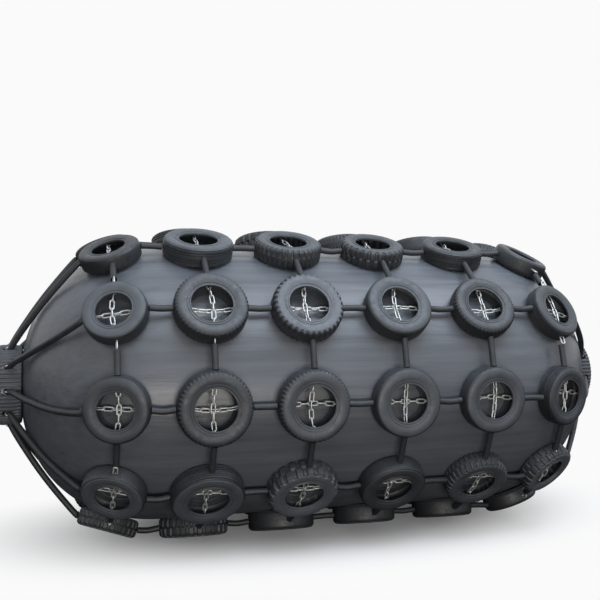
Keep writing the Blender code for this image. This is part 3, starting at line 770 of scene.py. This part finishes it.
for number in range(ROWS):
    hoses = bmesh.new()
    for column in range(COLUMNS - 1):
        start = tyre_seat(number, column) @ Vector((TYRE_RADIUS, 0, 0))
        end = tyre_seat(number, column + 1) @ Vector((-TYRE_RADIUS, 0, 0))
        line = end - start
        bow = Vector((0, 0, chance.uniform(-0.012, 0.004)))
        middle = (start + end) / 2 + bow
        begin, stop = chance.uniform(0.0, 0.05), chance.uniform(0.95, 1.0)
        route = smooth_route([start + line * begin, middle, start + line * stop], 4)
        add_hose(hoses, route)
    for column in range(COLUMNS):
        start = tyre_seat(number, column) @ Vector((0, TYRE_RADIUS, 0))
        end = tyre_seat(number + 1, column) @ Vector((0, -TYRE_RADIUS, 0))
        line = end - start
        bare = max(0.0, BARE_REACH - TYRE_RADIUS * COLUMN_SIZES[column]) / line.length
        begin = bare if (number, column, 1) in BARE_LINKS else 0.0
        stop = 1 - bare if ((number + 1) % ROWS, column, -1) in BARE_LINKS else 1.0
        add_hose(hoses, [start + line * begin, (start + end) / 2, start + line * stop])
    for facing in (-1, 1):
        add_hose(hoses, dome_route(number, facing))
    name = f"row_hoses_{number + 1:02d}"
    node = f"tyre_row_{number + 1:02d}"
    finish_piece(name, hoses, [hose_rubber], "fender", [node], 40)


# The end tyres. A wider casing stands on edge round each tow ring, with a cross-grooved tread and
# ten oval holes cut through it for the hoses.
END_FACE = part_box("end_flange_right")[1].x
END_PLACES = {
    "right": TO_AXIS @ Matrix.Translation((END_FACE, 0, 0)),
    "left": TO_AXIS @ Matrix.Rotation(math.pi, 4, "Z") @ Matrix.Translation((END_FACE, 0, 0)),
}
RING_OUT = RING_X - END_FACE
END_TREAD_STEPS = 240
STEPS_PER_RIB = 4
RIB_DEPTH = 0.011
RIB_FOOT = 0.345  # the grooves between the ribs run out at this radius
HOLE_LENGTH = 0.10
HOLE_WIDTH = 0.062
HOLE_FLOOR = 0.32  # the holes cut what lies outside this radius
PRESSED = 1.27  # the sidewall on the body's side is this much further out, on the dome
END_SECTION = (
    (END_TYRE_RADIUS, HOLE_LENGTH / 4),
    (END_TYRE_RADIUS, HOLE_LENGTH / 2),
    (END_TYRE_RADIUS - 0.001, 0.056),
    (END_TYRE_RADIUS - 0.004, 0.072),
    (0.3515, 0.0815),
    (0.3385, 0.0865),
    (0.3365, 0.0892),
    (0.3200, 0.0925),
    (0.2960, 0.0943),
    (0.2720, 0.0935),
    (0.2540, 0.0895),
    (0.2525, 0.0910),
    (0.2460, 0.0900),
    (0.2440, 0.0865),
    (0.2300, 0.0825),
    (0.2190, 0.0775),
    (0.2150, 0.0710),
    (0.2190, 0.0630),
    (0.2460, 0.0720),
    (0.3080, 0.0765),
    (END_TYRE_RADIUS - 0.020, HOLE_LENGTH / 2),
    (END_TYRE_RADIUS - 0.018, HOLE_LENGTH / 4),
)


def in_hole(middle, out, across):
    """Whether a face of the tread lies in the hole that faces out."""
    lengthwise = abs(middle.x - RING_OUT) < HOLE_LENGTH / 2
    return lengthwise and middle.dot(out) > HOLE_FLOOR and abs(middle.dot(across)) < HOLE_WIDTH / 2


def end_casing_mesh():
    """The casing round X, its tread holes turned towards the rows."""
    bm = bmesh.new()
    section = [(r, RING_OUT + h) for r, h in END_SECTION]
    for r, h in reversed(END_SECTION):
        section.append((r, RING_OUT - h * (PRESSED if 0.25 < r < 0.34 else 1.0)))
    turn_profile(bm, section, "X", END_TREAD_STEPS)
    for v in bm.verts:
        radius = v.co.yz.length
        number = round(math.atan2(v.co.y, v.co.z) / math.tau * END_TREAD_STEPS)
        if number % STEPS_PER_RIB < STEPS_PER_RIB / 2 and radius > RIB_FOOT:
            v.co.yz *= (radius - RIB_DEPTH) / radius
    for number in range(ROWS):
        out = Matrix.Rotation(number * ROW_STEP + math.pi / 2, 3, "X") @ Vector((0, 0, 1))
        across = Vector((1, 0, 0)).cross(out)
        hole = {f for f in bm.faces if in_hole(f.calc_center_median(), out, across)}
        rim = [e for e in bm.edges if sum(f in hole for f in e.link_faces) == 1]
        bmesh.ops.delete(bm, geom=list(hole), context="FACES")
        for v in {v for e in rim for v in e.verts}:
            along, aside = (v.co.x - RING_OUT) / HOLE_LENGTH, v.co.dot(across) / HOLE_WIDTH
            size = 2 * math.hypot(along, aside)
            height = v.co.dot(out)
            v.co = out * height + across * aside * HOLE_WIDTH / size
            v.co.x = RING_OUT + along * HOLE_LENGTH / size
        bmesh.ops.bridge_loops(bm, edges=rim)
    bmesh.ops.recalc_face_normals(bm, faces=bm.faces)
    return mesh_from(bm, "end_casing")


end_casing = end_casing_mesh()
for side, end in END_PLACES.items():
    casing = bmesh.new()
    ages = casing.verts.layers.float.new("age")
    for v in stamp(casing, end_casing, end):
        v[ages] = 0.75
    name = f"end_casing_{side}"
    finish_piece(name, casing, [casing_rubber], "fender", [f"end_tyre_{side}"], 28)


# The end flanges. A steel flange with a stepped rim closes each end of the body round a port; its
# cover lies deep in the port with six bolts and the air valve, and two small holes flank the port.
FLANGE_THICKNESS = 0.02
PORT_RADIUS = 0.085
SMALL_HOLES = ((0.172, 16), (0.172, -48))  # distance from the middle and degrees round it
SMALL_HOLE_RADIUS = 0.02

# Matt anti-rust primer: warm beige, chalky, darker in blotches and where dust has run.
primer, tree, shader = start_material("matt_beige_primer")
place = add_node(tree, "TexCoord").outputs["Object"]
stain = add_node(
    tree,
    "TexNoise",
    {"Vector": place, "Scale": per_metre(111), "Detail": 6.0, "Roughness": 0.6},
)
primer_colour = add_node(
    tree,
    "MixRGB",
    {"Fac": stain.outputs[0], "Color1": linear("#a68f7c"), "Color2": linear("#d8c3ae")},
)
tree.links.new(primer_colour.outputs[0], shader.inputs["Base Color"])
shader.inputs["Roughness"].default_value = 0.62
relief = add_node(tree, "Bump", {"Strength": 0.15, "Distance": 0.001, "Height": stain.outputs[0]})
tree.links.new(relief.outputs[0], shader.inputs["Normal"])

# The same primer painted dark brown in uneven patches, as painted shade deep in the port.
shaded_port_primer, tree, shader = start_material("painted_shade_port_primer")
place = add_node(tree, "TexCoord").outputs["Object"]
port_shade_mottle = add_node(tree, "TexNoise", {"Vector": place, "Scale": per_metre(40), "Detail": 5.0})
# The cover's dark brown is painted shade.
port_shade_colour = add_node(
    tree,
    "MixRGB",
    {"Fac": port_shade_mottle.outputs[0], "Color1": linear("#43342c"), "Color2": linear("#6e5a4d")},
)
tree.links.new(port_shade_colour.outputs[0], shader.inputs["Base Color"])
shader.inputs["Roughness"].default_value = 0.45

# Cast brass gone dull outdoors, brown in its pores.
brass, tree, shader = start_material("dull_cast_brass")
place = add_node(tree, "TexCoord").outputs["Object"]
patina = add_node(tree, "TexNoise", {"Vector": place, "Scale": per_metre(16.7), "Detail": 4.0})
brass_colour = add_node(
    tree,
    "MixRGB",
    {"Fac": patina.outputs[0], "Color1": linear("#7d6438"), "Color2": linear("#c2a562")},
)
tree.links.new(brass_colour.outputs[0], shader.inputs["Base Color"])
shader.inputs["Metallic"].default_value = 0.9
shader.inputs["Roughness"].default_value = 0.4


def turned_mesh(profile, steps, closed=True):
    """A mesh turned about X from (radius, along) points."""
    bm = bmesh.new()
    turn_profile(bm, profile, "X", steps, closed)
    return mesh_from(bm, "turned")


flange = turned_mesh(
    (
        (FLANGE_RADIUS - 0.001, -FLANGE_THICKNESS),
        (FLANGE_RADIUS, -FLANGE_THICKNESS + 0.001),
        (FLANGE_RADIUS, -0.0095),
        (FLANGE_RADIUS - 0.002, -0.0075),
        (FLANGE_RADIUS - 0.030, -0.0065),
        (FLANGE_RADIUS - 0.034, -0.0015),
        (FLANGE_RADIUS - 0.036, 0.0),
        (PORT_RADIUS + 0.003, 0.0),
        (PORT_RADIUS, -0.003),
        (PORT_RADIUS, -FLANGE_THICKNESS),
    ),
    120,
)


def piece_of(name, stamps, material, body, node, sharp=35):
    """A piece made of meshes, each stamped at its place, that stands for one CAD node."""
    bm = bmesh.new()
    for mesh, place in stamps:
        stamp(bm, mesh, place)
    finish_piece(name, bm, [material], body, [node], sharp)


def drilled_mesh(plate, holes, radius):
    """The plate with round holes through it along X."""
    drills = bmesh.new()
    for distance, degrees in holes:
        at = Matrix.Rotation(math.radians(degrees), 4, "X") @ Matrix.Translation((0, distance, 0))
        at = at @ Matrix.Rotation(math.pi / 2, 4, "Y")
        bmesh.ops.create_cone(
            drills, cap_ends=True, segments=40, radius1=radius, radius2=radius, depth=0.2, matrix=at
        )
    meshes = (plate, mesh_from(drills, "drills"))
    carriers = [bpy.data.objects.new(data.name, data) for data in meshes]
    for carrier in carriers:
        bpy.context.scene.collection.objects.link(carrier)
    cut = carriers[0].modifiers.new("holes", "BOOLEAN")
    cut.operation = "DIFFERENCE"
    cut.object = carriers[1]
    graph = bpy.context.evaluated_depsgraph_get()
    data = bpy.data.meshes.new_from_object(carriers[0].evaluated_get(graph))
    for carrier in carriers:
        bpy.data.objects.remove(carrier)
    return data


flange = drilled_mesh(flange, SMALL_HOLES, SMALL_HOLE_RADIUS)
COVER_FACE = -FLANGE_THICKNESS
cover = turned_mesh(
    (
        (0.118, COVER_FACE - 0.012),
        (0.118, COVER_FACE),
        (0.046, COVER_FACE),
        (0.045, COVER_FACE + 0.002),
        (0.028, COVER_FACE + 0.002),
        (0, COVER_FACE + 0.002),
    ),
    72,
    False,
)
BOLT_CIRCLE = 0.064
bolt_head = turned_mesh(
    ((0.0075, 0), (0.0085, 0.001), (0.0085, 0.006), (0.0075, 0.007), (0, 0.007)), 6, False
)
washer = turned_mesh(((0.0115, 0), (0.0115, 0.0014), (0.011, 0.0018), (0, 0.0018)), 24, False)
valve = turned_mesh(
    (
        (0.018, COVER_FACE),
        (0.018, COVER_FACE + 0.005),
        (0.0165, COVER_FACE + 0.006),
        (0.0125, COVER_FACE + 0.0065),
        (0.0125, COVER_FACE + 0.014),
        (0.0115, COVER_FACE + 0.0155),
        (0, COVER_FACE + 0.016),
    ),
    40,
    False,
)
for side, end in END_PLACES.items():
    lid = [(cover, end)]
    for i in range(6):
        at = end @ Matrix.Rotation(i * math.tau / 6, 4, "X")
        at = at @ Matrix.Translation((COVER_FACE, 0, BOLT_CIRCLE))
        lid += [(washer, at), (bolt_head, at @ Matrix.Translation((0.0015, 0, 0)))]
    for name, node, stamps, material, slot in (
        ("flange_plate", "end_flange", [(flange, end)], primer, "primed_steel"),
        ("cover_plate", "port_cover", lid, shaded_port_primer, "primed_steel"),
        ("valve", "air_valve", [(valve, end)], brass, "valve_brass"),
    ):
        piece_of(f"{name}_{side}", stamps, material, "fender", f"{node}_{side}")


# The tow ring. A flat steel ring stands off the flange; a cross bar and the lug plate lie across it
# at right angles, their ends welded over the ring's face, and the tow pin goes through the lug.
RING_RADIUS = 0.20
RING_BAR = 0.037
RING_HALF = 0.010
RING_SOFT = 0.003  # rolled edges
LUG_THICKNESS = 0.03
LUG_DEPTH = 0.05
LUG_RISE = 0.17
LUG_HEAD = 0.042
CROSS_BAR_THICKNESS = 0.014
CROSS_BAR_DEPTH = 0.03
BAR_OVER_RING = 0.016
PLATE_GAP = 0.0003
PIN_RADIUS = 0.017
FITTING_TURN = Matrix.Rotation(ROW_STEP / 4, 4, "X")


def plate_mesh(outlines, thickness, edge):
    """A flat plate about the XY plane with softened edges; later outlines are holes."""
    curve = bpy.data.curves.new("plate", "CURVE")
    curve.dimensions = "2D"
    curve.fill_mode = "BOTH"
    curve.extrude = thickness / 2 - edge
    curve.bevel_depth = edge
    curve.bevel_resolution = 1
    curve.offset = -edge
    for outline in outlines:
        spline = curve.splines.new("POLY")
        spline.points.add(len(outline) - 1)
        spline.use_cyclic_u = True
        for point, (x, y) in zip(spline.points, outline):
            point.co = (x, y, 0, 1)
    return mesh_of_curve(curve)


def arc(centre, radius, start, end, steps):
    """Points round a centre, from one angle in degrees to another."""
    turns = [math.radians(start + (end - start) * i / steps) for i in range(steps + 1)]
    return [(centre[0] + radius * math.cos(t), centre[1] + radius * math.sin(t)) for t in turns]


def capping_outline(depth, slot=0.0, slot_depth=0.0):
    """Half a plate across the ring as (across, along): it fills the bore and caps the ring."""
    front = RING_OUT + RING_HALF
    inner = RING_RADIUS - RING_BAR - PLATE_GAP
    points = [(inner, front - depth), (inner, front), (RING_RADIUS, front)]
    points.append((RING_RADIUS, front + BAR_OVER_RING))
    if slot:
        points = [(slot, front - depth + slot_depth), (slot, front - depth)] + points
    return points


def mirrored(points):
    """The half outline and its mirror image, as one outline."""
    return points + [(-across, along) for across, along in reversed(points)]


ring = turned_mesh(
    [
        (RING_RADIUS - RING_BAR + r, RING_OUT + x)
        for r, x in (
            (0, -RING_HALF + RING_SOFT),
            (RING_SOFT, -RING_HALF),
            (RING_BAR - RING_SOFT, -RING_HALF),
            (RING_BAR, -RING_HALF + RING_SOFT),
            (RING_BAR, RING_HALF - RING_SOFT),
            (RING_BAR - RING_SOFT, RING_HALF),
            (RING_SOFT, RING_HALF),
            (0, RING_HALF - RING_SOFT),
        )
    ],
    120,
)
cross_bar = plate_mesh([mirrored(capping_outline(CROSS_BAR_DEPTH))], CROSS_BAR_THICKNESS, 0.002)
cross_bar.transform(Matrix(((0, 1, 0, 0), (1, 0, 0, 0), (0, 0, -1, 0), (0, 0, 0, 1))))
half_edge = capping_outline(
    LUG_DEPTH, CROSS_BAR_THICKNESS / 2 + PLATE_GAP, LUG_DEPTH + BAR_OVER_RING + 2 * PLATE_GAP
)
PIN_OUT = RING_OUT + LUG_RISE
lug_head = arc((0, PIN_OUT), LUG_HEAD, 20, 160, 24)
lug_hole = arc((0, PIN_OUT), PIN_RADIUS + 0.001, 0, 348, 29)
lug_outline = half_edge + lug_head + [(-across, along) for across, along in reversed(half_edge)]
lug = plate_mesh([lug_outline, lug_hole], LUG_THICKNESS, 0.0025)
lug.transform(Matrix(((0, 1, 0, 0), (0, 0, 1, 0), (1, 0, 0, 0), (0, 0, 0, 1))))
for side, end in END_PLACES.items():
    for name, node, stamps in (
        ("ring", "tow_ring", [(ring, end)]),
        ("ring_bar", "cross_bar", [(cross_bar, end @ FITTING_TURN)]),
        ("ring_lug", "lug_plate", [(lug, end @ FITTING_TURN)]),
    ):
        piece_of(f"{name}_{side}", stamps, zinc, "fender", f"{node}_{side}")


# The shackles on the ring. Forged bow shackles, one a row: the pin with its flat head lies inside
# the ring, the bow reaches out over it, and the chain's last link hangs in the bow.
SMALL_BAR = 0.016
SMALL_JAW = 0.027
SMALL_LENGTH = 0.062
SMALL_EAR = 0.0135
small_pin = RING_RADIUS - RING_BAR - 0.002 - SMALL_BAR / 2
leg = (SMALL_JAW + SMALL_BAR) / 2
bow_end = small_pin + SMALL_LENGTH + SMALL_BAR / 2
bow_route = [(leg, small_pin)]
bow_route += [(x, bow_end - leg + r) for x, r in arc((0, 0), leg, 0, 180, 14)]
bow_route += [(-leg, small_pin)]
small_bow = tube_mesh([(x, 0, r) for x, r in bow_route], SMALL_BAR / 2, 3, capped=True)
half_bar = SMALL_BAR / 2
ear = turned_mesh(
    (
        (0, -half_bar),
        (SMALL_EAR - 0.002, -half_bar),
        (SMALL_EAR, -half_bar + 0.002),
        (SMALL_EAR, half_bar - 0.002),
        (SMALL_EAR - 0.002, half_bar),
        (0, half_bar),
    ),
    24,
    False,
)
PIN_OVER = leg + half_bar
small_pin_mesh = turned_mesh(
    (
        (0, -PIN_OVER - 0.002),
        (0.006, -PIN_OVER - 0.002),
        (0.007, -PIN_OVER),
        (0.007, PIN_OVER),
        (0.0105, PIN_OVER),
        (0.0115, PIN_OVER + 0.0015),
        (0.0105, PIN_OVER + 0.005),
        (0, PIN_OVER + 0.006),
    ),
    20,
    False,
)
LAST_LINK = small_pin + SMALL_LENGTH - LINK_BAR / 2
for side, end in END_PLACES.items():
    mirror = 1 if side == "right" else -1
    links = bmesh.new()
    for number in range(ROWS):
        turn = mirror * (math.pi / 2 - number * ROW_STEP)
        spot = end @ Matrix.Rotation(turn, 4, "X")
        pin_place = spot @ Matrix.Translation((RING_OUT, 0, small_pin))
        shackle = [(small_bow, spot @ Matrix.Translation((RING_OUT, 0, 0)))]
        shackle += [(ear, pin_place @ Matrix.Translation((x, 0, 0))) for x in (-leg, leg)]
        shackle += [(small_pin_mesh, pin_place)]
        node = f"chain_shackle_{side}_{number + 1:02d}"
        name = f"ring_shackle_{side}_{number + 1:02d}"
        piece_of(name, shackle, zinc, "fender", node, 40)
        for i in range(2):
            out = LAST_LINK + (LINK_PITCH + LINK_BAR) / 2 + i * LINK_PITCH
            place = spot @ Matrix.Translation((RING_OUT, 0, out)) @ Matrix.Rotation(math.pi / 2, 4, "Y")
            stamp(links, link, place @ Matrix.Rotation(i * math.pi / 2, 4, "X"))
    finish_piece(f"ring_links_{side}", links, [zinc], "fender", [], 60)


# The tow shackle. A forged bow shackle hangs from its bolt through the lug plate, with a hexagon
# nut; the swivel's eye hangs loose in the bow.
BOW_BAR = 0.032
BOW_JAW = 0.038
BOW_WIDTH = 0.11
BOW_LENGTH = 0.15
EAR_RADIUS = 0.032
PIN_HEAD_RADIUS = 0.027
PIN_HEAD_LENGTH = 0.016
BOW_CENTRE = BOW_LENGTH + BOW_BAR / 2
bow_leg = (BOW_JAW + BOW_BAR) / 2
bow_half = (BOW_WIDTH + BOW_BAR) / 2
waist = EAR_RADIUS + BOW_BAR / 2
omega = [Vector((0, bow_leg, -EAR_RADIUS * 0.6)), Vector((0, bow_leg, -waist))]
omega += [Vector((0, y, z)) for y, z in arc((0, bow_half - BOW_CENTRE), bow_half, 20, -200, 8)]
omega += [Vector((0, -bow_leg, -waist)), Vector((0, -bow_leg, -EAR_RADIUS * 0.6))]
tow_bow = tube_mesh(smooth_route(omega, 5), BOW_BAR / 2, 6, capped=True)
bow_ear = turned_mesh(
    (
        (PIN_RADIUS + 0.001, -BOW_BAR / 2 + 0.001),
        (PIN_RADIUS + 0.002, -BOW_BAR / 2),
        (EAR_RADIUS - 0.005, -BOW_BAR / 2),
        (EAR_RADIUS, -BOW_BAR / 2 + 0.006),
        (EAR_RADIUS, BOW_BAR / 2 - 0.006),
        (EAR_RADIUS - 0.005, BOW_BAR / 2),
        (PIN_RADIUS + 0.002, BOW_BAR / 2),
        (PIN_RADIUS + 0.001, BOW_BAR / 2 - 0.001),
    ),
    48,
)
OUTSIDE = BOW_JAW / 2 + BOW_BAR + PLATE_GAP
bolt = turned_mesh(
    (
        (0, OUTSIDE + PIN_HEAD_LENGTH),
        (PIN_HEAD_RADIUS - 0.006, OUTSIDE + PIN_HEAD_LENGTH),
        (PIN_HEAD_RADIUS - 0.001, OUTSIDE + PIN_HEAD_LENGTH - 0.003),
        (PIN_HEAD_RADIUS, OUTSIDE + PIN_HEAD_LENGTH - 0.006),
        (PIN_HEAD_RADIUS, OUTSIDE + 0.001),
        (PIN_RADIUS, OUTSIDE),
        (PIN_RADIUS, -OUTSIDE - PIN_HEAD_LENGTH - 0.005),
        (PIN_RADIUS - 0.003, -OUTSIDE - PIN_HEAD_LENGTH - 0.008),
        (0, -OUTSIDE - PIN_HEAD_LENGTH - 0.008),
    ),
    40,
    False,
)
nut = turned_mesh(
    (
        (PIN_RADIUS + PLATE_GAP, 0.001),
        (PIN_RADIUS + 0.002, 0),
        (PIN_HEAD_RADIUS - 0.002, 0),
        (PIN_HEAD_RADIUS, 0.002),
        (PIN_HEAD_RADIUS, PIN_HEAD_LENGTH - 0.002),
        (PIN_HEAD_RADIUS - 0.002, PIN_HEAD_LENGTH),
        (PIN_RADIUS + 0.002, PIN_HEAD_LENGTH),
        (PIN_RADIUS + PLATE_GAP, PIN_HEAD_LENGTH - 0.001),
    ),
    6,
)
X_TO_Y = Matrix.Rotation(math.pi / 2, 4, "Z")
for side, end in END_PLACES.items():
    hinge = end @ FITTING_TURN @ Matrix.Translation((PIN_OUT, 0, 0))
    ears = [(bow_ear, hinge @ Matrix.Translation((0, y, 0)) @ X_TO_Y) for y in (-bow_leg, bow_leg)]
    body_name = f"tow_shackle_{side}"
    for name, node, stamps in (
        ("bow", "tow_shackle", [(tow_bow, hinge)] + ears),
        ("bow_bolt", "tow_pin", [(bolt, hinge @ X_TO_Y.inverted())]),
        ("bow_nut", "tow_nut", [(nut, hinge @ Matrix.Translation((0, OUTSIDE, 0)) @ X_TO_Y)]),
    ):
        piece_of(f"{name}_{side}", stamps, zinc, body_name, f"{node}_{side}", 40)


# The swivel. A long eye with a hexagon collar is riveted through a bell-shaped head, which turns on
# it and ends in a flat tab with a hole for the next shackle.
EYE_BAR = 0.026
EYE_WIDTH = 0.05
EYE_LENGTH = 0.09
EYE_RISE = 0.0015
COLLAR_RADIUS = 0.036
COLLAR_HEIGHT = 0.034
COLLAR_CHAMFER = 0.008
COLLAR_SINK = 0.006
SWIVEL_RADIUS = 0.045
SWIVEL_HEIGHT = 0.12
SWIVEL_THICKNESS = 0.03
SWIVEL_HOLE = 0.022
SHANK_LENGTH = 0.03
eye_half = (EYE_WIDTH + EYE_BAR) / 2
eye_top = (BOW_BAR + EYE_BAR) / 2 + EYE_RISE
eye_low = eye_top - EYE_LENGTH - EYE_BAR
oval = arc((0, eye_top - eye_half), eye_half, 180, 0, 16)
oval += arc((0, eye_low + eye_half), eye_half, 0, -180, 16)
eye = tube_mesh([(x, 0, z) for x, z in oval], EYE_BAR / 2, 6, cyclic=True)
neck = eye_low - EYE_BAR / 2 + COLLAR_SINK
foot = neck - COLLAR_HEIGHT
collar = turned_mesh(
    (
        (0, neck),
        (COLLAR_RADIUS - COLLAR_CHAMFER, neck),
        (COLLAR_RADIUS, neck - COLLAR_CHAMFER),
        (COLLAR_RADIUS, foot + 0.003),
        (COLLAR_RADIUS - 0.003, foot),
        (0, foot),
    ),
    6,
    False,
)
bell = turned_mesh(
    (
        (0, 0),
        (SWIVEL_RADIUS * 0.72, 0),
        (SWIVEL_RADIUS * 0.80, -0.002),
        (SWIVEL_RADIUS * 0.95, -0.010),
        (SWIVEL_RADIUS, -0.018),
        (SWIVEL_RADIUS * 0.98, -0.030),
        (SWIVEL_RADIUS * 0.86, -0.044),
        (SWIVEL_RADIUS * 0.66, -0.054),
        (0, -0.060),
    ),
    40,
    False,
)
tab_half = SWIVEL_RADIUS * 0.8
tab_end = -SWIVEL_HEIGHT + SWIVEL_RADIUS
tab_outline = [(tab_half, -SHANK_LENGTH)] + arc((0, tab_end), tab_half, 0, -180, 24)
tab_outline += [(-tab_half, -SHANK_LENGTH)]
tab = plate_mesh(
    [tab_outline, arc((0, tab_end), SWIVEL_HOLE, 0, 348, 29)], SWIVEL_THICKNESS, 0.005
)
tab.transform(Matrix.Rotation(math.pi / 2, 4, "X"))
X_TO_Z = Matrix.Rotation(-math.pi / 2, 4, "Y")
for side, end in END_PLACES.items():
    hinge = end @ FITTING_TURN @ Matrix.Translation((PIN_OUT, 0, -BOW_CENTRE))
    head = hinge @ Matrix.Translation((0, 0, foot - PLATE_GAP))
    for name, node, stamps in (
        ("link_eye", f"swivel_eye_{side}", [(eye, hinge), (collar, hinge @ X_TO_Z)]),
        ("link_head", f"swivel_head_{side}", [(bell, head @ X_TO_Z), (tab, head)]),
    ):
        piece_of(f"{name}_{side}", stamps, zinc, node, node, 40)
